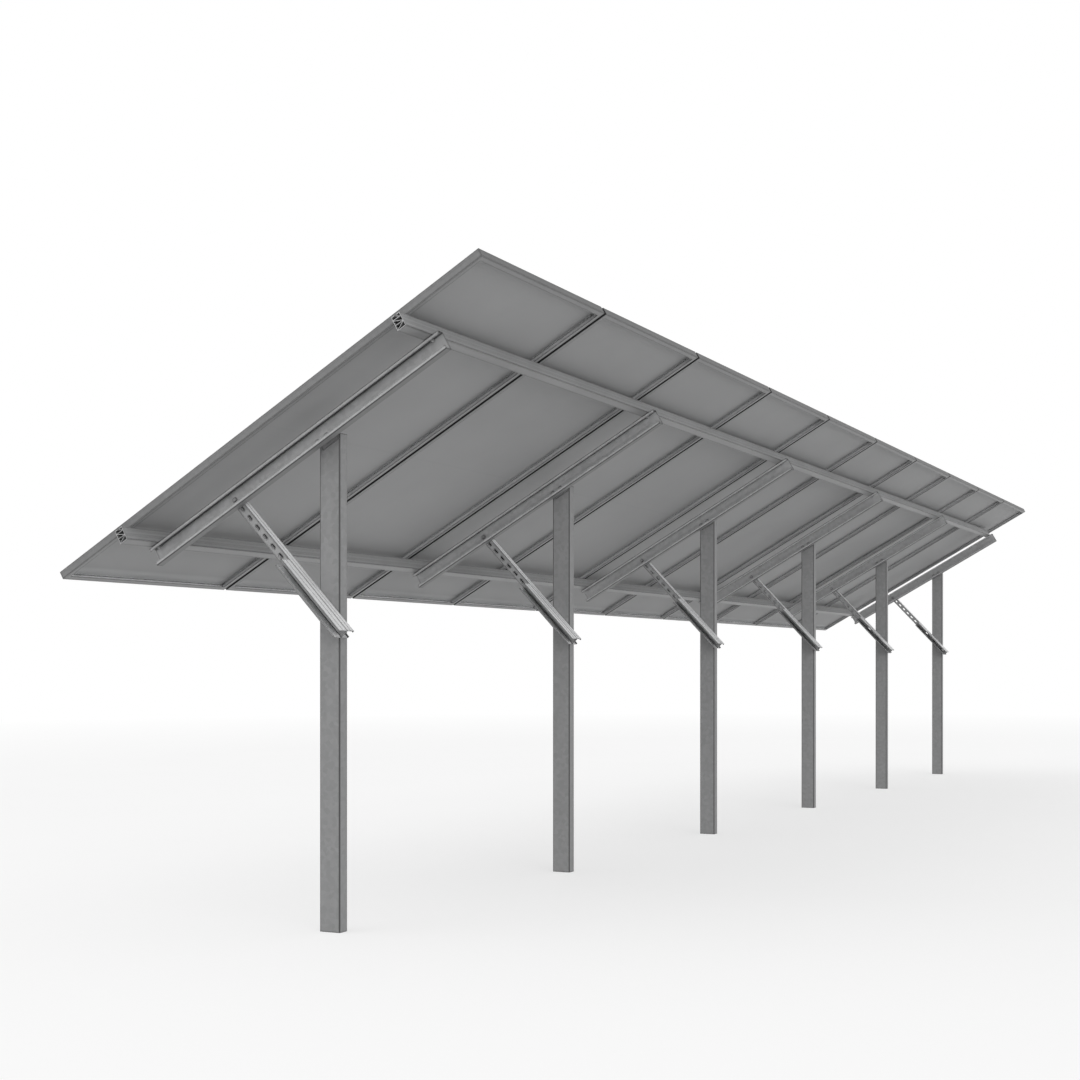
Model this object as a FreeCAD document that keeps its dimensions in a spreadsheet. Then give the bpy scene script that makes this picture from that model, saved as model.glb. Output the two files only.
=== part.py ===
import FreeCAD, Part
import Sketcher
import os
import re

# Fixed-tilt ground mount for one row of framed solar modules.
# X runs along the row, with the first post and the first module at the +X end.
# The glass faces -Y and up, the high edge of the modules is on the +Y side.
# The origin is on the foot of the first post, in the middle of its web, Z points up.

os.makedirs("parts", exist_ok=True)

V = FreeCAD.Vector
X_AXIS = V(1, 0, 0)

POST_COUNT = 6
MODULE_COUNT = 10

# Driving sizes in millimetres, angles in degrees
SIZES = [
    # table of modules
    ("tilt", "29.6"),
    ("high_edge_y", "830"),
    ("high_edge_z", "2689"),
    ("module_width", "1134"),
    ("module_length", "2382"),
    ("module_depth", "35"),
    ("module_gap", "20"),
    ("near_overhang", "239"),
    ("far_overhang", "182"),
    # section of the module frame
    ("frame_wall", "2.5"),
    ("frame_foot_width", "26"),
    ("frame_foot_wall", "2"),
    ("frame_ledge_width", "10"),
    ("frame_ledge_wall", "1.6"),
    ("frame_lip_width", "8"),
    ("frame_lip_wall", "1.8"),
    ("laminate_depth", "5.2"),
    ("laminate_slack", "0.3"),
    # rails along the row, placed by the slope distance from the high edge
    ("rail_height", "62"),
    ("rail_width", "42"),
    ("rail_wall", "2.4"),
    ("rail_web_step", "1.7"),
    ("rail_mouth", "12"),
    ("rail_mouth_lip", "3"),
    ("rail_channel", "12"),
    ("rail_near_reach", "54"),
    ("rail_far_reach", "17"),
    ("upper_rail_drop", "385"),
    ("lower_rail_drop", "1954"),
    # sloping beams
    ("beam_width", "85"),
    ("beam_depth", "42"),
    ("beam_wall", "3"),
    ("beam_bend", "2"),
    ("beam_lip", "16"),
    ("beam_top_reach", "28"),
    ("beam_low_reach", "14"),
    # posts
    ("post_width", "100"),
    ("post_depth", "60"),
    ("post_wall", "4"),
    ("post_bend", "3"),
    ("post_lip", "20"),
    ("post_top_cover", "17"),
    ("ground_level", "935"),
    ("earth_hole_rise", "250"),
    ("earth_hole", "9"),
    # braces with slotted webs, and the doublers bolted to their lower parts
    ("brace_width", "42"),
    ("brace_depth", "50"),
    ("doubler_depth", "62"),
    ("brace_wall", "2.5"),
    ("brace_bend", "1.5"),
    ("groove_width", "2.6"),
    ("groove_depth", "0.8"),
    ("brace_lip", "9"),
    ("brace_foot_y", "27"),
    ("brace_foot_z", "1316"),
    ("brace_top_drop", "1541"),
    ("brace_end", "24"),
    ("slot_length", "28"),
    ("slot_width", "13"),
    ("slot_corner", "4"),
    ("slot_pitch", "57"),
    ("doubler_slots", "6"),
    ("doubler_end", "72"),
    ("bolt_hole", "13"),
    # brackets between beams and posts
    ("head_height", "42"),
    ("head_length", "90"),
    ("head_wall", "5"),
    ("head_bolt_pitch", "50"),
    ("head_rise", "27"),
]

# Sizes that follow from the driving ones
DERIVED = [
    ("module_pitch", "=module_width + module_gap"),
    ("row_length", "=%d * module_pitch - module_gap" % MODULE_COUNT),
    ("bay", "=(row_length - near_overhang - far_overhang) / %d" % (POST_COUNT - 1)),
    ("rail_length", "=near_overhang + rail_near_reach + bay * %d" % (POST_COUNT - 1)
     + " - post_wall / 2 - brace_depth + rail_far_reach"),
    ("beam_axis_drop", "=module_depth + rail_height + beam_width / 2"),
    ("beam_top_drop", "=upper_rail_drop - beam_top_reach"),
    ("beam_length", "=lower_rail_drop + rail_width + beam_low_reach - beam_top_drop"),
    ("head_drop", "=module_depth + rail_height + beam_width - head_rise"),
    ("head_slope_drop", "=(high_edge_y + head_drop * sin(tilt)) / cos(tilt)"),
    ("head_z", "=high_edge_z - head_slope_drop * sin(tilt) - head_drop * cos(tilt)"),
    ("post_length", "=head_z + head_bolt_pitch / 2 * sin(tilt) + post_top_cover"),
    ("brace_top_y", "=high_edge_y - brace_top_drop * cos(tilt) + beam_axis_drop * sin(tilt)"),
    ("brace_top_z", "=high_edge_z - brace_top_drop * sin(tilt) - beam_axis_drop * cos(tilt)"),
    ("brace_run", "=brace_foot_y - brace_top_y"),
    ("brace_rise", "=brace_top_z - brace_foot_z"),
    ("brace_lean", "=atan(brace_run / brace_rise) / 1deg"),
    ("brace_span", "=sqrt(brace_run ^ 2 + brace_rise ^ 2)"),
    ("brace_length", "=slot_pitch * 2 + brace_span + brace_end"),
    ("brace_slots", "=floor(brace_span / slot_pitch + 1.5)"),
    ("doubler_length", "=slot_pitch * doubler_slots + doubler_end"),
]

doc = FreeCAD.newDocument("SolarGroundMount")
sheet = doc.addObject("Spreadsheet::Sheet", "Sizes")
for row, (alias, value) in enumerate(SIZES + DERIVED, start=1):
    sheet.set("A%d" % row, alias)
    sheet.set("B%d" % row, value)
    sheet.setAlias("B%d" % row, alias)
doc.recompute()

NAMES = [alias for alias, value in SIZES + DERIVED]


def expr(text):
    # every size name in the text becomes a reference to the sheet
    return re.sub("[a-z_]+", lambda m: "Sizes." + m[0] if m[0] in NAMES else m[0], text)


def number(text):
    return float(sheet.evalExpression(expr(text)))


def minus(text):
    return "-(%s)" % text


def new_body(label):
    body = doc.addObject("PartDesign::Body", label)
    body.Label = label
    return body


def plane_of(body, role):
    for feature in body.Origin.OriginFeatures:
        if feature.Role == role:
            return feature


def new_sketch(body, name, plane="XY_Plane", height=None):
    sketch = body.newObject("Sketcher::SketchObject", body.Name + "_" + name)
    sketch.AttachmentSupport = [(plane_of(body, plane), "")]
    sketch.MapMode = "FlatFace"
    if height is not None:
        sketch.AttachmentOffset = FreeCAD.Placement(V(0, 0, number(height)), FreeCAD.Rotation())
        sketch.setExpression(".AttachmentOffset.Base.z", expr(height))
    return sketch


def drive(sketch, kind, references, text):
    # a sketch dimension that follows a size expression
    index = sketch.addConstraint(Sketcher.Constraint(kind, *references, number(text)))
    sketch.setExpression("Constraints[%d]" % index, expr(text))


def fix_point(sketch, element, point, x, y):
    if x == "0":
        sketch.addConstraint(Sketcher.Constraint("PointOnObject", element, point, -2))
    else:
        drive(sketch, "DistanceX", (-1, 1, element, point), x)
    if y == "0":
        sketch.addConstraint(Sketcher.Constraint("PointOnObject", element, point, -1))
    else:
        drive(sketch, "DistanceY", (-1, 1, element, point), y)


def polygon(sketch, corners):
    # closed outline through corners given as pairs of size expressions
    points = [V(number(x), number(y), 0) for x, y in corners]
    count = len(points)
    first = sketch.GeometryCount
    for i in range(count):
        sketch.addGeometry(Part.LineSegment(points[i], points[(i + 1) % count]), False)
    for i in range(count):
        following = first + (i + 1) % count
        sketch.addConstraint(Sketcher.Constraint("Coincident", first + i, 2, following, 1))
    for i, (x, y) in enumerate(corners):
        fix_point(sketch, first + i, 1, x, y)


def rectangle(sketch, x0, y0, x1, y1):
    polygon(sketch, [(x0, y0), (x1, y0), (x1, y1), (x0, y1)])


def square(sketch, x, y, across):
    # square hole for the neck of a carriage bolt
    left, right = "%s - %s / 2" % (x, across), "%s + %s / 2" % (x, across)
    rectangle(sketch, left, "%s - %s / 2" % (y, across), right, "%s + %s / 2" % (y, across))


def circle(sketch, x, y, diameter):
    centre = V(number(x), number(y), 0)
    element = sketch.addGeometry(Part.Circle(centre, V(0, 0, 1), number(diameter) / 2), False)
    fix_point(sketch, element, 3, x, y)
    drive(sketch, "Diameter", (element,), diameter)


def upright_slot(sketch, y, length, width, corner):
    # long hole on the sketch's vertical axis, centred at height y, with cut corners
    side = "%s / 2" % width
    waist = "(%s / 2 - %s)" % (width, corner)
    low, high = "%s - %s / 2" % (y, length), "%s + %s / 2" % (y, length)
    polygon(sketch, [
        (waist, low), (side, "%s + %s" % (low, corner)),
        (side, "%s - %s" % (high, corner)), (waist, high),
        (minus(waist), high), (minus(side), "%s - %s" % (high, corner)),
        (minus(side), "%s + %s" % (low, corner)), (minus(waist), low),
    ])


def pad(body, sketch, length):
    feature = body.newObject("PartDesign::Pad", sketch.Name + "_pad")
    feature.Profile = sketch
    feature.Length = number(length)
    feature.setExpression("Length", expr(length))
    body.Tip = feature
    return feature


def cut(body, sketch, depth, towards_plus):
    # removes material on the named side of the sketch plane
    feature = body.newObject("PartDesign::Pocket", sketch.Name + "_cut")
    feature.Profile = sketch
    feature.Length = number(depth)
    feature.setExpression("Length", expr(depth))
    feature.Reversed = towards_plus
    body.Tip = feature
    return feature


def repeat(body, feature, sketch, pitch, count):
    # the pitch and the count are both size expressions
    pattern = body.newObject("PartDesign::LinearPattern", feature.Name + "_row")
    pattern.Originals = [feature]
    pattern.Direction = (sketch, ["V_Axis"])
    whole = "%s * (%s - 1)" % (pitch, count)
    pattern.Occurrences = int(number(count))
    pattern.Length = number(whole)
    pattern.setExpression("Occurrences", expr(count))
    pattern.setExpression("Length", expr(whole))
    body.Tip = pattern
    return pattern


def ease_edges(body, base, corners, kind, measure):
    # fillets or chamfers the long edges that stand on the given corners of the section
    spots = [(number(x), number(y)) for x, y in corners]
    chosen = []
    for i, edge in enumerate(base.Shape.Edges, start=1):
        start, end = edge.Vertexes[0].Point, edge.Vertexes[-1].Point
        if abs(start.x - end.x) < 0.001 and abs(start.y - end.y) < 0.001:
            for x, y in spots:
                if abs(start.x - x) < 0.001 and abs(start.y - y) < 0.001:
                    chosen.append("Edge%d" % i)
    feature = body.newObject("PartDesign::" + kind, base.Name + "_bends")
    feature.Base = (base, chosen)
    feature.setExpression("Radius" if kind == "Fillet" else "Size", expr(measure))
    body.Tip = feature
    doc.recompute()
    return feature


def place(body, x, y, z, turn="0"):
    # position, and turn about X, bound to the sheet
    body.Placement = FreeCAD.Placement(V(0, 0, 0), FreeCAD.Rotation(X_AXIS, 10))
    body.setExpression(".Placement.Base.x", expr(x))
    body.setExpression(".Placement.Base.y", expr(y))
    body.setExpression(".Placement.Base.z", expr(z))
    body.setExpression(".Placement.Rotation.Angle", expr(turn))


def on_table(along, above):
    # Y and Z of a point measured up the slope, and square to the glass, from the high edge
    y = "high_edge_y + (%s) * cos(tilt) - (%s) * sin(tilt)" % (along, above)
    z = "high_edge_z + (%s) * sin(tilt) + (%s) * cos(tilt)" % (along, above)
    return y, z


def bay_x(start, number_in_row):
    return "%s - bay * %d" % (start, number_in_row - 1)


# Cold-formed lipped channel, web on x = 0, centred on y = 0, open towards one side of x
def channel(body, prefix, opens_to_plus, length, depth):
    width = prefix + "_width"
    wall, lip, bend = prefix + "_wall", prefix + "_lip", prefix + "_bend"
    side = (lambda text: text) if opens_to_plus else minus
    far = side(depth)
    inner = side("%s - %s" % (depth, wall))
    web = side(wall)
    top = "%s / 2" % width
    low = "-%s / 2" % width
    outline = [("0", low)]
    if prefix == "brace":
        outline += groove(side, depth, low, "+")
    outline += [
        (far, low),
        (far, "%s + %s" % (low, lip)),
        (inner, "%s + %s" % (low, lip)),
        (inner, "%s + %s" % (low, wall)),
        (web, "%s + %s" % (low, wall)),
        (web, "%s - %s" % (top, wall)),
        (inner, "%s - %s" % (top, wall)),
        (inner, "%s - %s" % (top, lip)),
        (far, "%s - %s" % (top, lip)),
        (far, top),
    ]
    if prefix == "brace":
        outline += reversed(groove(side, depth, top, "-"))
    outline += [("0", top)]
    section = new_sketch(body, "section")
    polygon(section, outline)
    formed = pad(body, section, length)
    doc.recompute()
    outer_bends = [("0", low), (far, low), (far, top), ("0", top)]
    inner_bends = [(x, "%s %s" % (y, step)) for x in (web, inner)
                   for y, step in ((low, "+ " + wall), (top, "- " + wall))]
    if prefix == "brace":
        return ease_edges(body, formed, outer_bends, "Chamfer", bend)
    formed = ease_edges(body, formed, inner_bends, "Chamfer", bend)
    return ease_edges(body, formed, outer_bends, "Fillet", "%s + %s" % (bend, wall))


def groove(side, depth, face, inwards):
    # shallow stiffening groove along the middle of a flange
    near = side("(%s - groove_width) / 2" % depth)
    far = side("(%s + groove_width) / 2" % depth)
    floor = "%s %s groove_depth" % (face, inwards)
    return [(near, face), (near, floor), (far, floor), (far, face)]


# Posts, driven into the ground
def make_post(n):
    body = new_body("post_%d" % n)
    channel(body, "post", False, "post_length", "post_depth")
    holes = new_sketch(body, "web_holes", "YZ_Plane")
    square(holes, "brace_foot_y", "brace_foot_z", "bolt_hole")
    for sign in ("-", "+"):
        square(holes, "0 %s head_bolt_pitch / 2 * cos(tilt)" % sign,
               "head_z %s head_bolt_pitch / 2 * sin(tilt)" % sign, "bolt_hole")
    cut(body, holes, "post_wall", False)
    earth = new_sketch(body, "earth_hole", "XZ_Plane", "post_width / 2")
    circle(earth, "-post_depth / 2", "ground_level + earth_hole_rise", "earth_hole")
    cut(body, earth, "post_wall", False)
    place(body, bay_x("post_wall / 2", n), "0", "0")
    return body


# Sloping beams under the rails
def make_beam(n):
    body = new_body("beam_%d" % n)
    channel(body, "beam", True, "beam_length", "beam_depth")
    holes = new_sketch(body, "web_holes", "YZ_Plane")
    foot = "beam_length + beam_top_drop"
    square(holes, "0", "%s - brace_top_drop" % foot, "bolt_hole")
    for sign in ("-", "+"):
        square(holes, "head_drop - beam_axis_drop",
               "%s - head_slope_drop %s head_bolt_pitch / 2" % (foot, sign), "bolt_hole")
    cut(body, holes, "beam_wall", True)
    y, z = on_table(minus(foot), minus("beam_axis_drop"))
    place(body, bay_x("post_wall / 2 + brace_depth", n), y, z, "tilt - 90")
    return body


def place_on_brace_line(body, n):
    # local z runs up the brace, and the second slot sits on the lower bolt
    y = "brace_foot_y + 2 * slot_pitch * sin(brace_lean)"
    z = "brace_foot_z - 2 * slot_pitch * cos(brace_lean)"
    place(body, bay_x("post_wall / 2 + brace_depth", n), y, z, "brace_lean")


# Braces from the posts up to the beams
def make_brace(n):
    body = new_body("brace_%d" % n)
    channel(body, "brace", False, "brace_length", "brace_depth")
    slot = new_sketch(body, "slot", "YZ_Plane")
    upright_slot(slot, "slot_pitch", "slot_length", "slot_width", "slot_corner")
    first = cut(body, slot, "brace_wall", False)
    repeat(body, first, slot, "slot_pitch", "brace_slots")
    hole = new_sketch(body, "top_hole", "YZ_Plane")
    square(hole, "0", "slot_pitch * 2 + brace_span", "bolt_hole")
    cut(body, hole, "brace_wall", False)
    place_on_brace_line(body, n)
    return body


# Doublers, back to back with the lower parts of the braces
def make_doubler(n):
    body = new_body("doubler_%d" % n)
    channel(body, "brace", True, "doubler_length", "doubler_depth")
    slot = new_sketch(body, "slot", "YZ_Plane")
    upright_slot(slot, "slot_pitch", "slot_length", "slot_width", "slot_corner")
    first = cut(body, slot, "brace_wall", True)
    repeat(body, first, slot, "slot_pitch", "doubler_slots")
    place_on_brace_line(body, n)
    return body


# Brackets that carry each beam on its post
def make_head(n):
    body = new_body("post_head_%d" % n)
    section = new_sketch(body, "section")
    up = "-head_height / 2"
    down = "head_height / 2"
    corners = [
        ("0", up),
        ("brace_depth", up),
        ("brace_depth", down),
        ("brace_depth - head_wall", down),
        ("brace_depth - head_wall", up + " + head_wall"),
        ("head_wall", up + " + head_wall"),
        ("head_wall", down),
        ("0", down),
    ]
    polygon(section, corners)
    pad(body, section, "head_length")
    y, z = on_table("-head_slope_drop - head_length / 2", "-head_drop")
    place(body, bay_x("post_wall / 2", n), y, z, "tilt - 90")
    return body


def triangles(section, left, right, low, high, rising):
    # the two openings beside a slanting web between the corners of a chamber
    near_left, near_right = left + " + rail_web_step", right + " - rail_web_step"
    near_low, near_high = low + " + rail_web_step", high + " - rail_web_step"
    if rising:
        polygon(section, [(left, near_low), (near_right, high), (left, high)])
        polygon(section, [(near_left, low), (right, low), (right, near_high)])
    else:
        polygon(section, [(left, low), (near_right, low), (left, near_high)])
        polygon(section, [(right, near_low), (right, high), (near_left, high)])


# Rails that carry the modules: a bolt channel over two chambers with slanting webs
def make_rail(label, drop):
    body = new_body(label)
    section = new_sketch(body, "section", "YZ_Plane")
    right, inside = "rail_width", "rail_width - rail_wall"
    mouth_a = "(rail_width - rail_mouth) / 2"
    mouth_b = "(rail_width + rail_mouth) / 2"
    up_lip, up_floor = "-rail_mouth_lip", "-rail_mouth_lip - rail_channel"
    base = "-rail_height"
    middle = "(-rail_height - rail_mouth_lip - rail_channel) / 2"
    polygon(section, [
        ("0", base), (right, base), (right, "0"), (mouth_b, "0"),
        (mouth_b, up_lip), (inside, up_lip), (inside, up_floor), ("rail_wall", up_floor),
        ("rail_wall", up_lip), (mouth_a, up_lip), (mouth_a, "0"), ("0", "0"),
    ])
    under, over = middle + " - rail_wall / 2", middle + " + rail_wall / 2"
    triangles(section, "rail_wall", inside, base + " + rail_wall", under, True)
    triangles(section, "rail_wall", inside, over, up_floor + " - rail_wall", False)
    pad(body, section, "rail_length")
    y, z = on_table("-%s - rail_width" % drop, "-module_depth")
    place(body, "near_overhang + rail_near_reach - rail_length", y, z, "tilt")
    return body


# Framed modules
def ring(body, name, height, inner, depth):
    section = new_sketch(body, name, "XY_Plane", height)
    rectangle(section, "0", "0", "module_width", "module_length")
    rectangle(section, inner, inner, "module_width - " + inner, "module_length - " + inner)
    return pad(body, section, depth)


def place_module(body, n):
    y, z = on_table("-module_length", "-module_depth")
    place(body, "near_overhang - module_width - module_pitch * %d" % (n - 1), y, z, "tilt")


def make_module_frame(n):
    body = new_body("module_frame_%d" % n)
    under_glass = "module_depth - frame_lip_wall - laminate_depth"
    ring(body, "wall", "0", "frame_wall", "module_depth")
    ring(body, "foot", "0", "frame_foot_width", "frame_foot_wall")
    ring(body, "ledge", under_glass + " - frame_ledge_wall", "frame_ledge_width", "frame_ledge_wall")
    ring(body, "lip", "module_depth - frame_lip_wall", "frame_lip_width", "frame_lip_wall")
    place_module(body, n)
    return body


def make_laminate(n):
    body = new_body("module_laminate_%d" % n)
    outline = new_sketch(body, "outline", "XY_Plane", "module_depth - frame_lip_wall - laminate_depth")
    inset = "frame_wall + laminate_slack"
    rectangle(outline, inset, inset, "module_width - (%s)" % inset, "module_length - (%s)" % inset)
    pad(body, outline, "laminate_depth")
    place_module(body, n)
    return body


pieces = []
for n in range(1, POST_COUNT + 1):
    pieces.append(make_post(n))
    pieces.append(make_beam(n))
    pieces.append(make_brace(n))
    pieces.append(make_doubler(n))
    pieces.append(make_head(n))
pieces.append(make_rail("rail_upper", "upper_rail_drop"))
pieces.append(make_rail("rail_lower", "lower_rail_drop"))
for n in range(1, MODULE_COUNT + 1):
    pieces.append(make_module_frame(n))
    pieces.append(make_laminate(n))

doc.recompute()

# Every object and every piece is tested before anything is written
for item in doc.Objects:
    if "Invalid" in item.State or "Error" in item.State:
        raise RuntimeError("object not sound: " + item.Name)
for piece in pieces:
    if piece.Shape.isNull() or not piece.Shape.isValid() or len(piece.Shape.Solids) != 1:
        raise RuntimeError("piece not sound: " + piece.Label)
for piece in pieces:
    piece.Shape.exportStep("parts/" + piece.Label + ".step")
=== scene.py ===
import math

import bmesh
import bpy
from mathutils import Matrix, Vector


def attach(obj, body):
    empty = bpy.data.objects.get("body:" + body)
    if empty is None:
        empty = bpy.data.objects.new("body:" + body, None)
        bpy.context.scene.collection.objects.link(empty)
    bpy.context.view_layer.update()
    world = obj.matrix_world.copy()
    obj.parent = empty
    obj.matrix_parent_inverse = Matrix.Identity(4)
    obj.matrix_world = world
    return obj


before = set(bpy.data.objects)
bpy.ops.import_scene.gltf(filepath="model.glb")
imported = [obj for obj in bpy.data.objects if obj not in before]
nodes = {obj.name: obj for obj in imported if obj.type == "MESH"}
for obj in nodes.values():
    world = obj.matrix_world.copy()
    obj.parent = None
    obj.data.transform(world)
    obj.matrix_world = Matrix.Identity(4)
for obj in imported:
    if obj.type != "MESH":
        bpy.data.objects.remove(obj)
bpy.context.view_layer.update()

# Sizes of the mount, in metres and in the CAD frame. A drop is measured down the slope from the
# high edge of the modules, a depth square to the glass, down from it.
POSTS, MODULES = 6, 10
BAY = 2.2198
TILT = math.radians(29.6)
HIGH_Y, HIGH_Z = 0.830, 2.689
MODULE_WIDTH, MODULE_PITCH, MODULE_LENGTH = 1.134, 1.154, 2.382
MODULE_GAP = MODULE_PITCH - MODULE_WIDTH
ROW_START = 0.239
ROW_END = ROW_START - MODULE_PITCH * (MODULES - 1) - MODULE_WIDTH
RAIL_WIDTH = 0.042
RAIL_DROPS = {"upper": 0.385 + RAIL_WIDTH / 2, "lower": 1.954 + RAIL_WIDTH / 2}
RAIL_TOP, RAIL_HEIGHT = 0.035, 0.062
BEAM_TOP = RAIL_TOP + RAIL_HEIGHT
BEAM_WIDTH, BEAM_DEPTH, BEAM_WALL = 0.085, 0.042, 0.003
POST_FACE, BEAM_BACK = 0.002, 0.052
BRACE_WALL, SLOT_PITCH = 0.0025, 0.057
BRACE_FOOT_Y, BRACE_FOOT_Z = 0.027, 1.316
BRACE_BOLT_DROP = 1.541
HEAD_BOLT_RISE, HEAD_BOLT_SPACING = 0.027, 0.050
# Depth from which a module's frame stands open to the rear
RECESS_DEPTH = 0.0068

# Cells in a module: two halves, each a grid of half cells
CELL_WIDTH, CELL_HEIGHT = 0.182, 0.105
CELLS_ACROSS, CELLS_DOWN = 6, 22
CELL_SIDE_MARGIN, CELL_END_MARGIN, HALVES_GAP = 0.021, 0.030, 0.012
CELL_SIDE_GAP, CELL_END_GAP, WIRE_WIDTH = 0.0012, 0.0010, 0.0004
WIRES_A_CELL = 10

# Fasteners
BOLT_RADIUS, RAIL_BOLT_RADIUS, WASHER = 0.006, 0.005, 0.002
SLEEVE_RADIUS = 0.010
RAIL_CHANNEL_FLOOR = 0.016
CLAMP_LENGTH, CLAMP_LIP, CLAMP_WALL, CLAMP_LEG = 0.050, 0.018, 0.003, 0.020

# Tones: how far an edge darkens the metal, and how much painted light makes some faces paler or darker
EDGE_RADIUS, EDGE_SHARE, BEND_SHARE = 0.010, 0.95, 0.90
RECESS_GAIN, LOW_END_GAIN, NEAR_SIDE_GAIN = 4.0, 1.8, 1.62
END_GAIN, WEB_GAIN, SEAM_LOSS = 1.9, 0.88, 0.85

# The photograph's camera, fitted to its outlines
CAMERA_PLACE, CAMERA_TURN = (5.707, 3.799, 1.1046), 116.3475
PHOTO_SIZE, FOCAL_PIXELS, HORIZON_PIXEL = 1080, 1639.7, 665.9

scene = bpy.context.scene


# Materials


class Graph:
    """A node material that is built one node at a time."""

    def __init__(self, name):
        self.material = bpy.data.materials.new(name)
        self.material.use_nodes = True
        self.tree = self.material.node_tree
        self.shader = self.tree.nodes["Principled BSDF"]

    def node(self, kind, inputs=None, **settings):
        made = self.tree.nodes.new("ShaderNode" + kind)
        for key, value in settings.items():
            setattr(made, key, value)
        for key, value in (inputs or {}).items():
            self.feed(made.inputs[key], value)
        return made

    def feed(self, socket, value):
        if isinstance(value, bpy.types.NodeSocket):
            self.tree.links.new(value, socket)
        else:
            socket.default_value = value

    def math(self, operation, first, second=0.0):
        return self.node("Math", {0: first, 1: second}, operation=operation).outputs[0]

    def place(self):
        return self.node("TexCoord").outputs["Object"]

    def stretched(self, scale, turn=(0, 0, 0)):
        mapping = self.node("Mapping", {"Vector": self.place(), "Scale": scale, "Rotation": turn})
        return mapping.outputs["Vector"]

    def noise(self, vector, scale, detail=3.0, roughness=0.55):
        inputs = {"Vector": vector, "Scale": scale, "Detail": detail, "Roughness": roughness}
        return self.node("TexNoise", inputs).outputs["Fac"]

    def ramp(self, factor, low, high, start=0.3, end=0.7):
        made = self.node("MapRange", {"Value": factor, "From Min": start, "From Max": end,
                                      "To Min": low, "To Max": high})
        return made.outputs["Result"]

    def tint(self, factor, dark, light):
        made = self.node("Mix", data_type="RGBA")
        self.feed(made.inputs["Factor"], factor)
        self.feed(made.inputs["A"], (*dark, 1))
        self.feed(made.inputs["B"], (*light, 1))
        return made.outputs["Result"]

    def blend(self, factor, first, second):
        made = self.node("Mix", data_type="RGBA")
        for key, value in (("Factor", factor), ("A", first), ("B", second)):
            self.feed(made.inputs[key], value)
        return made.outputs["Result"]

    def facing(self, direction, start=0.6, end=0.85):
        """1 on faces that look along the direction, 0 on the others."""
        normal = self.node("NewGeometry").outputs["Normal"]
        inputs = {0: normal, 1: Vector(direction).normalized()}
        match = self.node("VectorMath", inputs, operation="DOT_PRODUCT").outputs["Value"]
        return self.ramp(match, 0.0, 1.0, start, end)

    def painted_by_facing(self, colour, facing_light):
        """Painted light: the colour times a gain for each direction that a face can look along."""
        gain = 1.0
        for direction, factor in facing_light:
            gain = self.math("ADD", gain, self.math("MULTIPLY", self.facing(direction), factor - 1.0))
        return self.scaled(colour, gain)

    def scaled(self, colour, gain):
        made = self.node("VectorMath", {0: colour, "Scale": gain}, operation="SCALE")
        return made.outputs["Vector"]

    def edge(self, radius, reach=1.0):
        """1 on the sharp edges and bends, 0 on the flats."""
        rounded = self.node("Bevel", {"Radius": radius}, samples=4).outputs["Normal"]
        true = self.node("NewGeometry").outputs["Normal"]
        match = self.node("VectorMath", {0: rounded, 1: true}, operation="DOT_PRODUCT").outputs["Value"]
        return self.ramp(match, reach, 0.0, 0.75, 0.99)

    def bends(self, directions, reach):
        """1 on rounded or cut corners, 0 on faces square to one of the directions."""
        normal = self.node("NewGeometry").outputs["Normal"]
        flat = 0.0
        for direction in directions:
            inputs = {0: normal, 1: Vector(direction).normalized()}
            match = self.node("VectorMath", inputs, operation="DOT_PRODUCT").outputs["Value"]
            flat = self.math("MAXIMUM", flat, self.math("ABSOLUTE", match))
        return self.ramp(flat, reach, 0.0, 0.94, 0.985)

    def bump(self, height, strength, distance=0.001):
        made = self.node("Bump", {"Height": height, "Strength": strength, "Distance": distance})
        self.feed(self.shader.inputs["Normal"], made.outputs["Normal"])

    def finish(self, **inputs):
        for key, value in inputs.items():
            self.feed(self.shader.inputs[key.replace("_", " ")], value)
        return self.material


def galvanised(name, dark, light, edge_colour, metallic, rough, facing_light=(), square_to=(), shading=None):
    """Zinc with frost-like spangles, faint runs down the face and dull cut edges."""
    g = Graph(name)
    spangle = g.node("TexVoronoi", {"Vector": g.place(), "Scale": 55.0}).outputs["Color"]
    grain = g.node("SeparateColor", {"Color": spangle}).outputs["Red"]
    runs = g.noise(g.stretched((9, 9, 0.8)), 1.6, 4.0)
    cloud = g.noise(g.place(), 2.2, 5.0)
    shade = g.math("ADD", g.math("MULTIPLY", grain, 0.35), g.math("MULTIPLY", runs, 0.4))
    shade = g.math("ADD", shade, g.math("MULTIPLY", cloud, 0.3))
    colour = g.painted_by_facing(g.tint(g.ramp(shade, 0.0, 1.0, 0.25, 0.8), dark, light), facing_light)
    if shading:
        colour = shading(g, colour)
    worn = g.edge(EDGE_RADIUS, EDGE_SHARE)
    if square_to:
        worn = g.math("MAXIMUM", worn, g.bends(square_to, BEND_SHARE))
    colour = g.blend(worn, colour, (*edge_colour, 1))
    fine = g.noise(g.place(), 420.0, 2.0)
    g.bump(g.math("ADD", g.math("MULTIPLY", fine, 0.5), g.math("MULTIPLY", grain, 0.25)), 0.18)
    return g.finish(Base_Color=colour, Metallic=metallic,
                    Roughness=g.ramp(shade, rough - 0.07, rough + 0.07, 0.25, 0.8))


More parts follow.
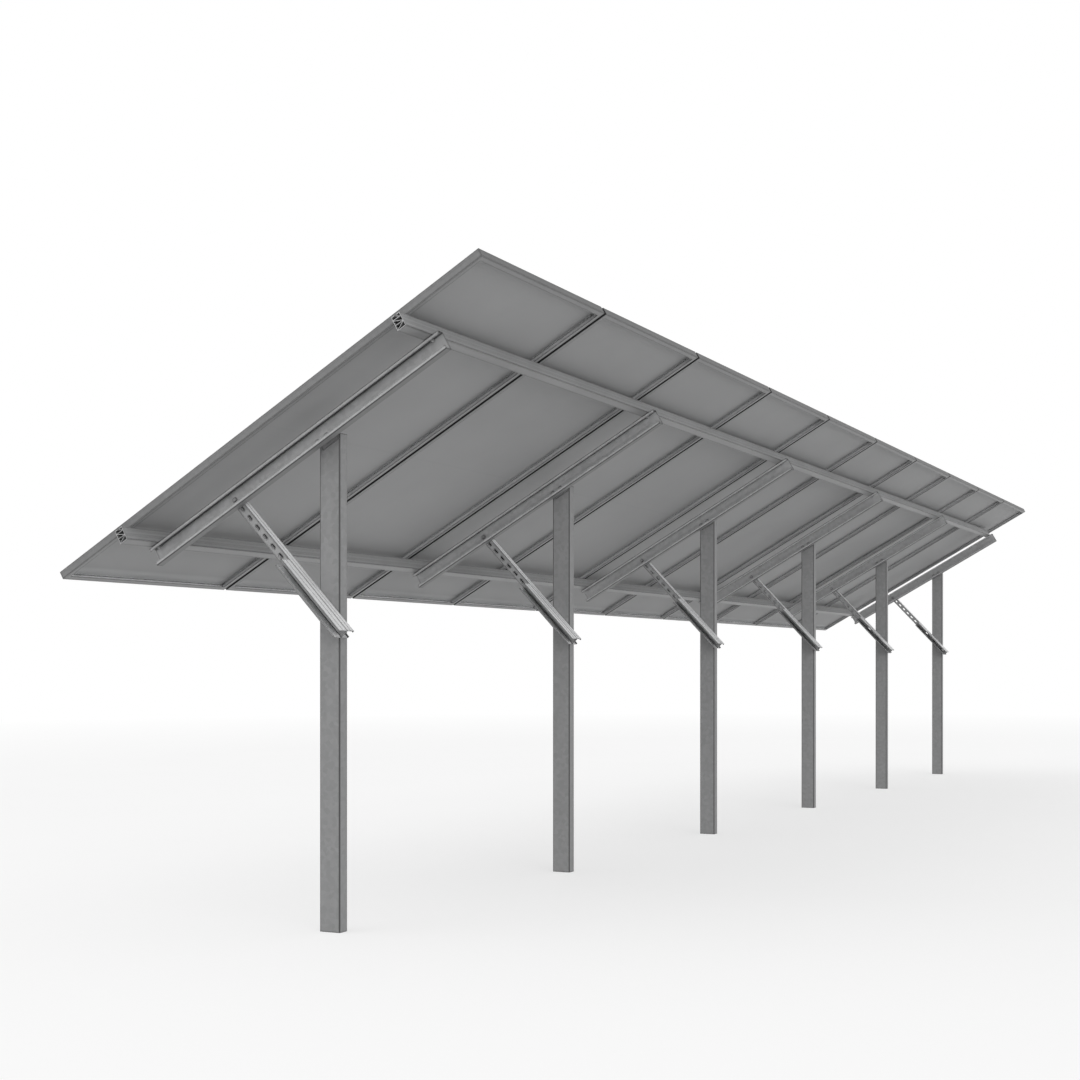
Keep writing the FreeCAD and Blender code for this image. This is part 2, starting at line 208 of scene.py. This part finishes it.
def drawn(name, dark, light, edge_colour, metallic, rough, stretch, turn=(0, 0, 0), facing_light=(), shading=None,
          square_to=(), bright_end=None):
    """Rolled or extruded metal with fine lines along its length, and its end face kept clear of the
    darkened edges.
    """
    g = Graph(name)
    lines = g.noise(g.stretched(stretch, turn), 1.0, 5.0, 0.65)
    cloud = g.noise(g.place(), 3.0, 3.0)
    shade = g.math("ADD", g.math("MULTIPLY", lines, 0.65), g.math("MULTIPLY", cloud, 0.35))
    colour = g.painted_by_facing(g.tint(g.ramp(shade, 0.0, 1.0, 0.35, 0.65), dark, light), facing_light)
    if shading:
        colour = shading(g, colour)
    worn = g.edge(EDGE_RADIUS, EDGE_SHARE)
    if square_to:
        worn = g.math("MAXIMUM", worn, g.bends(square_to, BEND_SHARE))
    if bright_end:
        worn = g.math("MULTIPLY", worn, g.math("SUBTRACT", 1.0, g.facing(bright_end)))
    colour = g.blend(worn, colour, (*edge_colour, 1))
    g.bump(lines, 0.12, 0.0006)
    return g.finish(Base_Color=colour, Metallic=metallic,
                    Roughness=g.ramp(lines, rough - 0.06, rough + 0.08))


def grey(value):
    """A nearly neutral grey, a little cold."""
    return (value, value * 1.005, value * 1.012)


def table_place(g):
    """X, the distance from the module's near side, the slope distance and the depth under the glass."""
    place = g.node("SeparateXYZ", {"Vector": g.place()}).outputs
    along = g.math("DIVIDE", g.math("SUBTRACT", ROW_START, place["X"]), MODULE_PITCH)
    along = g.math("MULTIPLY", g.math("FRACT", along), MODULE_PITCH)
    inwards = g.math("SUBTRACT", HIGH_Y, place["Y"])
    down = g.math("SUBTRACT", HIGH_Z, place["Z"])
    drop = g.math("ADD", g.math("MULTIPLY", inwards, math.cos(TILT)),
                  g.math("MULTIPLY", down, math.sin(TILT)))
    below = g.math("SUBTRACT", g.math("MULTIPLY", down, math.cos(TILT)),
                   g.math("MULTIPLY", inwards, math.sin(TILT)))
    return place["X"], along, drop, below


def frame_painted_light(g, colour):
    """Painted light: paler in the rear recess, at its low end and on the near side; painted shade in the
    gaps.
    """
    x, along, drop, below = table_place(g)
    side = g.math("MINIMUM", along, g.math("SUBTRACT", MODULE_WIDTH, along))
    end = g.math("MINIMUM", drop, g.math("SUBTRACT", MODULE_LENGTH, drop))
    inside = g.math("GREATER_THAN", g.math("MINIMUM", side, end), 0.0015)
    inside = g.math("MULTIPLY", inside, g.math("GREATER_THAN", below, RECESS_DEPTH))
    inside = g.math("MULTIPLY", inside, g.math("LESS_THAN", below, RAIL_TOP - 0.0015))
    gap = g.math("LESS_THAN", side, 0.0012)
    gap = g.math("MULTIPLY", gap, g.math("LESS_THAN", x, ROW_START - MODULE_GAP / 2))
    gap = g.math("MULTIPLY", gap, g.math("GREATER_THAN", x, ROW_END + MODULE_GAP / 2))
    gain = g.math("ADD", 1.0, g.math("MULTIPLY", inside, RECESS_GAIN - 1.0))
    low_wall = g.math("MULTIPLY", g.facing(TO_HIGH), g.math("GREATER_THAN", drop, MODULE_LENGTH - 0.02))
    low_wall = g.math("MULTIPLY", low_wall, inside)
    gain = g.math("MULTIPLY", gain, g.math("ADD", 1.0, g.math("MULTIPLY", low_wall, LOW_END_GAIN - 1.0)))
    near_side = g.math("GREATER_THAN", x, ROW_START - 0.001)
    gain = g.math("MULTIPLY", gain, g.math("ADD", 1.0, g.math("MULTIPLY", near_side, NEAR_SIDE_GAIN - 1.0)))
    gain = g.math("SUBTRACT", gain, g.math("MULTIPLY", gap, SEAM_LOSS))
    return g.scaled(colour, gain)


def beam_painted_shade(g, colour):
    """Painted shade on the web inside the channel, so that the lips in front of it stand out."""
    x = g.node("SeparateXYZ", {"Vector": g.place()}).outputs["X"]
    in_bay = g.math("MULTIPLY", g.math("FRACT", g.math("DIVIDE", x, BAY)), BAY)
    web = g.math("MULTIPLY", g.facing(NEAR_END), g.math("LESS_THAN", in_bay, BEAM_BACK + BEAM_WALL + 0.002))
    return g.scaled(colour, g.math("ADD", 1.0, g.math("MULTIPLY", web, WEB_GAIN - 1.0)))


def cell_laminate():
    """Half cells under glass on the face, a grey sheet on the rear."""
    g = Graph("laminate")
    x, along, drop, below = table_place(g)
    across = g.math("SUBTRACT", along, CELL_SIDE_MARGIN)
    lower_half = g.math("GREATER_THAN", drop, MODULE_LENGTH / 2)
    down = g.math("SUBTRACT", g.math("SUBTRACT", drop, CELL_END_MARGIN),
                  g.math("MULTIPLY", lower_half, HALVES_GAP))

    def gap(position, pitch, half_width):
        # 1 within half_width of each multiple of the pitch
        cell = g.math("FRACT", g.math("DIVIDE", position, pitch))
        centred = g.math("ABSOLUTE", g.math("SUBTRACT", cell, 0.5))
        return g.math("GREATER_THAN", centred, 0.5 - half_width / pitch)

    def outside(position, length):
        low = g.math("LESS_THAN", position, 0.0)
        return g.math("MAXIMUM", low, g.math("GREATER_THAN", position, length))

    off_centre = g.math("ABSOLUTE", g.math("SUBTRACT", drop, MODULE_LENGTH / 2))
    centre = g.math("LESS_THAN", off_centre, HALVES_GAP / 2)
    sheet = g.math("MAXIMUM", gap(across, CELL_WIDTH, CELL_SIDE_GAP), gap(down, CELL_HEIGHT, CELL_END_GAP))
    past_side = outside(across, CELL_WIDTH * CELLS_ACROSS)
    past_end = outside(down, CELL_HEIGHT * CELLS_DOWN)
    for part in (past_side, past_end, centre):
        sheet = g.math("MAXIMUM", sheet, part)
    wires = gap(across, CELL_WIDTH / WIRES_A_CELL, WIRE_WIDTH)
    cloud = g.noise(g.place(), 1.4, 3.0)
    cells = g.tint(g.ramp(cloud, 0.0, 1.0), (0.006, 0.009, 0.022), (0.010, 0.015, 0.034))
    cells = g.blend(g.math("MULTIPLY", wires, 0.5), cells, (0.16, 0.17, 0.19, 1))
    face = g.blend(sheet, cells, (0.50, 0.51, 0.52, 1))
    weave = g.noise(g.stretched((60, 60, 60)), 6.0, 3.0)
    tone = g.math("ADD", g.math("MULTIPLY", weave, 0.35), g.math("MULTIPLY", cloud, 0.65))
    tone = g.math("SUBTRACT", tone, g.math("MULTIPLY", sheet, 0.06))
    rear = g.tint(g.ramp(tone, 0.0, 1.0, 0.3, 0.7), grey(0.240), grey(0.275))
    # Painted light: the rear sheet paler towards its low end, lifting the shade in the cavity there
    rear = g.scaled(rear, g.ramp(drop, 1.0, LOW_END_GAIN, MODULE_LENGTH - 0.07, MODULE_LENGTH - 0.02))
    normal = g.node("NewGeometry").outputs["Normal"]
    up = (0, -math.sin(TILT), math.cos(TILT))
    facing = g.node("VectorMath", {0: normal, 1: up}, operation="DOT_PRODUCT").outputs["Value"]
    front = g.math("GREATER_THAN", facing, 0.5)
    g.bump(g.math("MULTIPLY", weave, g.math("SUBTRACT", 1.0, front)), 0.08)
    return g.finish(Base_Color=g.blend(front, rear, face),
                    Roughness=g.ramp(front, 0.62, 0.09, 0.0, 1.0),
                    Specular_IOR_Level=0.5)


def on_table(x, drop, below):
    """The point at a slope distance below the high edge and a depth under the glass."""
    return Vector((x, HIGH_Y - drop * math.cos(TILT) + below * math.sin(TILT),
                   HIGH_Z - drop * math.sin(TILT) - below * math.cos(TILT)))


BRACE_FOOT = Vector((0, BRACE_FOOT_Y, BRACE_FOOT_Z))
BRACE_TOP = on_table(0, BRACE_BOLT_DROP, BEAM_TOP + BEAM_WIDTH / 2)
ALONG_BRACE = (BRACE_TOP - BRACE_FOOT).normalized()
LEAN = math.atan2(-ALONG_BRACE.y, ALONG_BRACE.z)

# Directions that faces look along
NEAR_END, TO_HIGH = (1, 0, 0), (0, math.cos(TILT), math.sin(TILT))
DOWN = (0, math.sin(TILT), -math.cos(TILT))
BRACE_TOP_SIDE = Vector((0, math.cos(LEAN), math.sin(LEAN)))
TABLE_SIDES = (NEAR_END, TO_HIGH, DOWN)
BRACE_SIDES = (NEAR_END, BRACE_TOP_SIDE, ALONG_BRACE)
steel = galvanised("post_steel", grey(0.215), grey(0.275), grey(0.03), 0.25, 0.55,
                   square_to=(NEAR_END, (0, 1, 0), (0, 0, 1)))
head_steel = galvanised("head_steel", grey(0.215), grey(0.275), grey(0.03), 0.25, 0.55)
# Beam: painted light, paler on the faces that look to the near end and darker on the downward faces
beam_steel = galvanised("beam_steel", grey(0.205), grey(0.265), grey(0.03), 0.3, 0.50,
                        [(NEAR_END, 2.0), (DOWN, 0.72)], TABLE_SIDES, beam_painted_shade)
# Brace: painted highlight on the top side, painted shade on the underside and a little on the near face
brace_zinc = drawn("brace_steel", grey(0.34), grey(0.44), grey(0.03), 0.3, 0.40,
                   (260, 260, 3), (LEAN, 0, 0),
                   [(BRACE_TOP_SIDE, 2.3), (-BRACE_TOP_SIDE, 0.55), (NEAR_END, 0.8)],
                   square_to=BRACE_SIDES)
# Rail: painted light, paler on the side that looks up the slope and on the end face
rail_metal = drawn("rail_aluminium", grey(0.200), grey(0.260), grey(0.03), 0.3, 0.42, (2, 240, 240),
                   facing_light=[(TO_HIGH, 1.6), (NEAR_END, END_GAIN)], bright_end=NEAR_END)
# Frame: painted shade on the faces that look to the near end or up the slope
frame_metal = drawn("frame_aluminium", grey(0.195), grey(0.245), grey(0.03), 0.3, 0.45, (40, 60, 60),
                    facing_light=[(NEAR_END, 0.55), (TO_HIGH, 0.6)], shading=frame_painted_light)
laminate = cell_laminate()
bolt_zinc = galvanised("bolt_zinc", grey(0.30), grey(0.42), grey(0.16), 0.7, 0.36)
clamp_metal = drawn("clamp_aluminium", grey(0.34), grey(0.44), grey(0.2), 0.6, 0.4, (60, 60, 60))

FINISHES = {
    "post_head": head_steel, "post": steel, "beam": beam_steel, "brace": brace_zinc, "doubler": brace_zinc,
    "rail": rail_metal, "module_frame": frame_metal, "module_laminate": laminate,
}
for name, piece in nodes.items():
    kind = next(key for key in FINISHES if name.startswith(key))
    piece.data.materials.clear()
    piece.data.materials.append(FINISHES[kind])


# Fasteners


def axes(origin, x_axis, z_axis):
    """The place whose local X and Z lie along the two directions."""
    z_axis = Vector(z_axis).normalized()
    x_axis = Vector(x_axis).normalized()
    y_axis = z_axis.cross(x_axis)
    turn = Matrix((x_axis, y_axis, z_axis)).transposed().to_4x4()
    return Matrix.Translation(origin) @ turn


OUT_OF_GLASS = Vector((0, -math.sin(TILT), math.cos(TILT)))


def turned(bm, place, profile, sides, phase=0.0):
    """A closed body turned about the local Z axis through (radius, height) pairs."""
    rings = []
    for radius, height in profile:
        ring = []
        for i in range(sides):
            angle = phase + 2 * math.pi * i / sides
            point = Vector((radius * math.cos(angle), radius * math.sin(angle), height))
            ring.append(bm.verts.new(place @ point))
        rings.append(ring)
    for low, high in zip(rings, rings[1:]):
        for i in range(sides):
            j = (i + 1) % sides
            bm.faces.new((low[i], low[j], high[j], high[i]))
    bm.faces.new(list(reversed(rings[0])))
    bm.faces.new(rings[-1])


def hexagon(bm, place, across_flats, low, high):
    """Hexagon head or nut with its corners turned off at the free end."""
    corner = across_flats / math.sqrt(3)
    trim = (high - low) * 0.16
    turned(bm, place, [(corner * 0.97, low), (corner, low + trim), (corner, high - trim),
                       (corner * 0.9, high)], 6, 0.3)


def disc(bm, place, radius, low, high):
    """Washer with its rims broken."""
    rim = (high - low) * 0.3
    profile = [(radius - rim, low), (radius, low + rim), (radius, high - rim), (radius - rim, high)]
    turned(bm, place, profile, 24)


def thread(bm, place, radius, low, high):
    """Shank end with thread crests and a pointed tip."""
    profile, height, step = [(radius, low)], low, 0.0015
    while height + step < high - 0.001:
        profile += [(radius * 0.88, height + step * 0.5), (radius, height + step)]
        height += step
    profile.append((radius * 0.75, high))
    turned(bm, place, profile, 14)


def through_bolt(bm, place, radius, grip, stub=0.008):
    """Bolt whose head bears on the local plane z = 0 and whose nut bears on z = -grip."""
    head, nut, flats, rim = radius * 1.3, radius * 1.6, radius * 3.0, radius * 2.1
    end = -grip - WASHER - nut
    disc(bm, place, rim, 0.0, WASHER)
    hexagon(bm, place, flats, WASHER, WASHER + head)
    turned(bm, place, [(radius, 0.0), (radius, -grip)], 14)
    disc(bm, place, rim, -grip - WASHER, -grip)
    hexagon(bm, place, flats, end, -grip - WASHER)
    flipped = place @ Matrix.Translation((0, 0, end)) @ Matrix.Rotation(math.pi, 4, "X")
    thread(bm, flipped, radius, 0.0, stub)


def extruded(bm, place, outline, length):
    """Profile in the local XZ plane, drawn out along local Y about its middle."""
    ends = [[bm.verts.new(place @ Vector((x, y, z))) for x, z in outline]
            for y in (-length / 2, length / 2)]
    count = len(outline)
    for i in range(count):
        j = (i + 1) % count
        bm.faces.new((ends[0][i], ends[0][j], ends[1][j], ends[1][i]))
    bm.faces.new(list(reversed(ends[0])))
    bm.faces.new(ends[1])


def make_piece(name, finish, build):
    """A piece of the visual model that rides on the fixed body."""
    mesh = bpy.data.meshes.new(name)
    bm = bmesh.new()
    build(bm)
    bmesh.ops.recalc_face_normals(bm, faces=bm.faces)
    bm.to_mesh(mesh)
    bm.free()
    mesh.materials.append(finish)
    piece = bpy.data.objects.new(name, mesh)
    scene.collection.objects.link(piece)
    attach(piece, "root")


# Depth of the head's bolts under the glass, and their slope distance where the posts stand
HEAD_DEPTH = BEAM_TOP + BEAM_WIDTH - HEAD_BOLT_RISE
HEAD_DROP = (HIGH_Y + HEAD_DEPTH * math.sin(TILT)) / math.cos(TILT)


def frame_bolts(x):
    """The bolts of one post, its brace and its beam."""
    def build(bm):
        beam_face = BEAM_BACK + BEAM_WALL
        # post, brace and doubler, with a sleeve inside the brace
        inside = BEAM_BACK + BRACE_WALL
        foot = axes(BRACE_FOOT + Vector((x + inside, 0, 0)), (0, 0, 1), (1, 0, 0))
        through_bolt(bm, foot, BOLT_RADIUS, inside + POST_FACE)
        sleeve = axes(BRACE_FOOT + Vector((x + POST_FACE, 0, 0)), (0, 0, 1), (1, 0, 0))
        turned(bm, sleeve, [(SLEEVE_RADIUS, 0.0), (SLEEVE_RADIUS, BEAM_BACK - POST_FACE - BRACE_WALL)], 20)
        # brace and beam
        top = axes(BRACE_TOP + Vector((x + beam_face, 0, 0)), (0, 0, 1), (1, 0, 0))
        through_bolt(bm, top, BOLT_RADIUS, BEAM_WALL + BRACE_WALL)
        # brace and doubler
        for slot in (2, 4):
            spot = BRACE_FOOT + ALONG_BRACE * SLOT_PITCH * slot + Vector((x + inside, 0, 0))
            through_bolt(bm, axes(spot, (0, 0, 1), (1, 0, 0)), BOLT_RADIUS, 2 * BRACE_WALL)
        # beam, head bracket and post
        for side in (-HEAD_BOLT_SPACING / 2, HEAD_BOLT_SPACING / 2):
            head = axes(on_table(x + beam_face, HEAD_DROP + side, HEAD_DEPTH), (0, 0, 1), (1, 0, 0))
            through_bolt(bm, head, BOLT_RADIUS, beam_face + POST_FACE)
        # rails on the beam's upper flange
        for drop in RAIL_DROPS.values():
            under = on_table(x + BEAM_BACK + BEAM_DEPTH / 2, drop, BEAM_TOP + BEAM_WALL)
            nut = axes(under, (1, 0, 0), -OUT_OF_GLASS)
            disc(bm, nut, 0.011, 0.0, WASHER)
            hexagon(bm, nut, 0.017, WASHER, 0.010)
            thread(bm, nut, RAIL_BOLT_RADIUS, 0.010, 0.018)
            turned(bm, nut, [(RAIL_BOLT_RADIUS, -RAIL_CHANNEL_FLOOR), (RAIL_BOLT_RADIUS, 0.0)], 14)
            turned(bm, nut, [(0.011, -RAIL_CHANNEL_FLOOR), (0.011, -0.0075)], 6)
    return build


for n in range(POSTS):
    make_piece("frame_bolts_%d" % (n + 1), bolt_zinc, frame_bolts(-BAY * n))


def clamp_screw(bm, place, low):
    """Socket head screw that goes down into the rail's upper channel."""
    turned(bm, place, [(0.0062, 0.003), (0.0065, 0.0035), (0.0065, 0.0105), (0.0059, 0.011)], 20)
    turned(bm, place, [(0.004, low), (0.004, 0.003)], 12)
    turned(bm, place, [(0.0085, low - 0.006), (0.0085, low)], 6)


def mid_clamps(drop):
    """Hat-shaped clamps between neighbouring modules, over one rail."""
    outside, inside = 0.0092, 0.0062
    half = [(CLAMP_LIP, CLAMP_WALL), (CLAMP_LIP, 0.0), (outside, 0.0), (outside, -CLAMP_LEG),
            (inside, -CLAMP_LEG), (inside, -0.001)]

    def build(bm):
        for n in range(1, MODULES):
            x = ROW_START - MODULE_PITCH * n + MODULE_GAP / 2
            place = axes(on_table(x, drop, 0.0), (1, 0, 0), OUT_OF_GLASS)
            extruded(bm, place, half + [(-across, up) for across, up in reversed(half)], CLAMP_LENGTH)
            clamp_screw(bm, place, -RAIL_TOP - CLAMP_WALL)
    return build


for name, drop in RAIL_DROPS.items():
    make_piece("mid_clamps_" + name, clamp_metal, mid_clamps(drop))


# Stage, light and camera


def pale_floor():
    """White ground that keeps the shadow near the mount and fades to the backdrop further off."""
    g = Graph("pale_floor")
    path = g.node("LightPath").outputs
    seen = g.math("MAXIMUM", path["Is Camera Ray"], path["Is Glossy Ray"])
    seen = g.math("MAXIMUM", seen, path["Is Transmission Ray"])
    offset = g.node("VectorMath", {0: g.place(), 1: (-5.5, 0, 0)}, operation="SUBTRACT").outputs["Vector"]
    reach = g.node("VectorMath", {0: offset}, operation="LENGTH").outputs["Value"]
    share = g.math("MULTIPLY", seen, g.ramp(reach, 0.55, 1.0, 9.0, 22.0))
    cloud = g.noise(g.place(), 0.8, 3.0)
    g.finish(Base_Color=g.tint(cloud, (0.90, 0.90, 0.90), (0.93, 0.93, 0.93)), Roughness=0.9)
    glow = g.node("Emission", {"Color": (1, 1, 1, 1), "Strength": 1.0})
    mix = g.node("MixShader", {0: share, 1: g.shader.outputs[0], 2: glow.outputs[0]})
    g.feed(g.tree.nodes["Material Output"].inputs["Surface"], mix.outputs[0])
    return g.material


mesh = bpy.data.meshes.new("floor")
bm = bmesh.new()
bmesh.ops.create_grid(bm, x_segments=8, y_segments=8, size=60)
bm.to_mesh(mesh)
bm.free()
mesh.materials.append(pale_floor())
floor = bpy.data.objects.new("floor", mesh)
floor.location = (-5.5, 0, -0.0005)
scene.collection.objects.link(floor)


def studio_world():
    """An even sky for the light, and plain white for the camera."""
    world = bpy.data.worlds.new("studio")
    world.use_nodes = True
    scene.world = world
    tree = world.node_tree
    sky = tree.nodes["Background"]
    backdrop = tree.nodes.new("ShaderNodeBackground")
    for background, strength in ((sky, 0.75), (backdrop, 1.0)):
        background.inputs["Color"].default_value = (1, 1, 1, 1)
        background.inputs["Strength"].default_value = strength
    path = tree.nodes.new("ShaderNodeLightPath")
    seen = tree.nodes.new("ShaderNodeMath")
    seen.operation = "MAXIMUM"
    tree.links.new(path.outputs["Is Camera Ray"], seen.inputs[0])
    tree.links.new(path.outputs["Is Transmission Ray"], seen.inputs[1])
    mix = tree.nodes.new("ShaderNodeMixShader")
    for socket, source in enumerate((seen, sky, backdrop)):
        tree.links.new(source.outputs[0], mix.inputs[socket])
    tree.links.new(mix.outputs[0], tree.nodes["World Output"].inputs["Surface"])


studio_world()


def soft_light(name, towards, strength, spread):
    """A wide, even light from the given direction."""
    data = bpy.data.lights.new(name, "SUN")
    data.energy, data.angle = strength, math.radians(spread)
    lamp = bpy.data.objects.new(name, data)
    lamp.rotation_euler = Vector(towards).to_track_quat("Z", "Y").to_euler()
    scene.collection.objects.link(lamp)


soft_light("key", (0.62, 0.75, 0.14), 1.4, 50)
soft_light("fill", (0.45, -0.60, 0.65), 0.5, 60)

camera = bpy.data.objects.new("camera", bpy.data.cameras.new("camera"))
camera.location = CAMERA_PLACE
camera.rotation_euler = (math.radians(90), 0, math.radians(CAMERA_TURN))
camera.data.sensor_width = 36
camera.data.lens = FOCAL_PIXELS / PHOTO_SIZE * camera.data.sensor_width
camera.data.shift_y = (HORIZON_PIXEL - PHOTO_SIZE / 2) / PHOTO_SIZE
camera.data.clip_end = 200
scene.collection.objects.link(camera)
scene.camera = camera

scene.view_settings.view_transform = "Standard"
